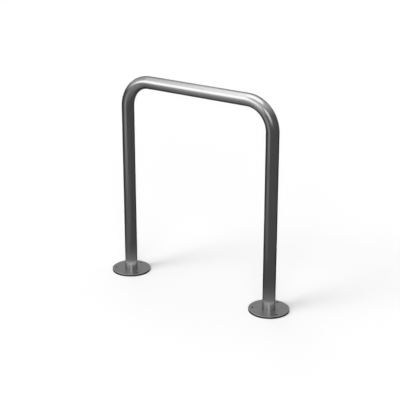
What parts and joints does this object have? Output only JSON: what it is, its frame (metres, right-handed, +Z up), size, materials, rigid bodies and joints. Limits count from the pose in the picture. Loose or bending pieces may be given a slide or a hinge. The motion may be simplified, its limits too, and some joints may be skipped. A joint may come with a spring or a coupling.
{
  "type": "hoop bike rack",
  "caption": "Hoop bike rack: a bent steel tube arch with its feet welded into round base plates that bolt to the ground.",
  "frame": {"origin": "on the ground, midway between the two legs, in the middle of the part's footprint", "axes": "+Z up; +X along the rail, from the left leg to the right one; +Y backwards, square to the hoop's plane"},
  "size_m": [0.804, 0.152, 0.81],
  "materials": {
    "tube_steel": "dark satin steel tube, ground with a fine grain round the tube, rubbed brighter along the rail, scuffed lighter towards the ground, and bare at the feet where the weld heat was cleaned off",
    "plate_steel": "satin steel plate, faced lighter and flatter than the tube, with a darker cut rim",
    "weld_steel": "dull dark weld bead, left as laid"
  },
  "bodies": {
    "root": {"hoop_tube": "tube_steel", "base_plate_left": "plate_steel", "base_plate_right": "plate_steel", "foot_weld_left": "weld_steel", "foot_weld_right": "weld_steel"}
  },
  "joints": []
}
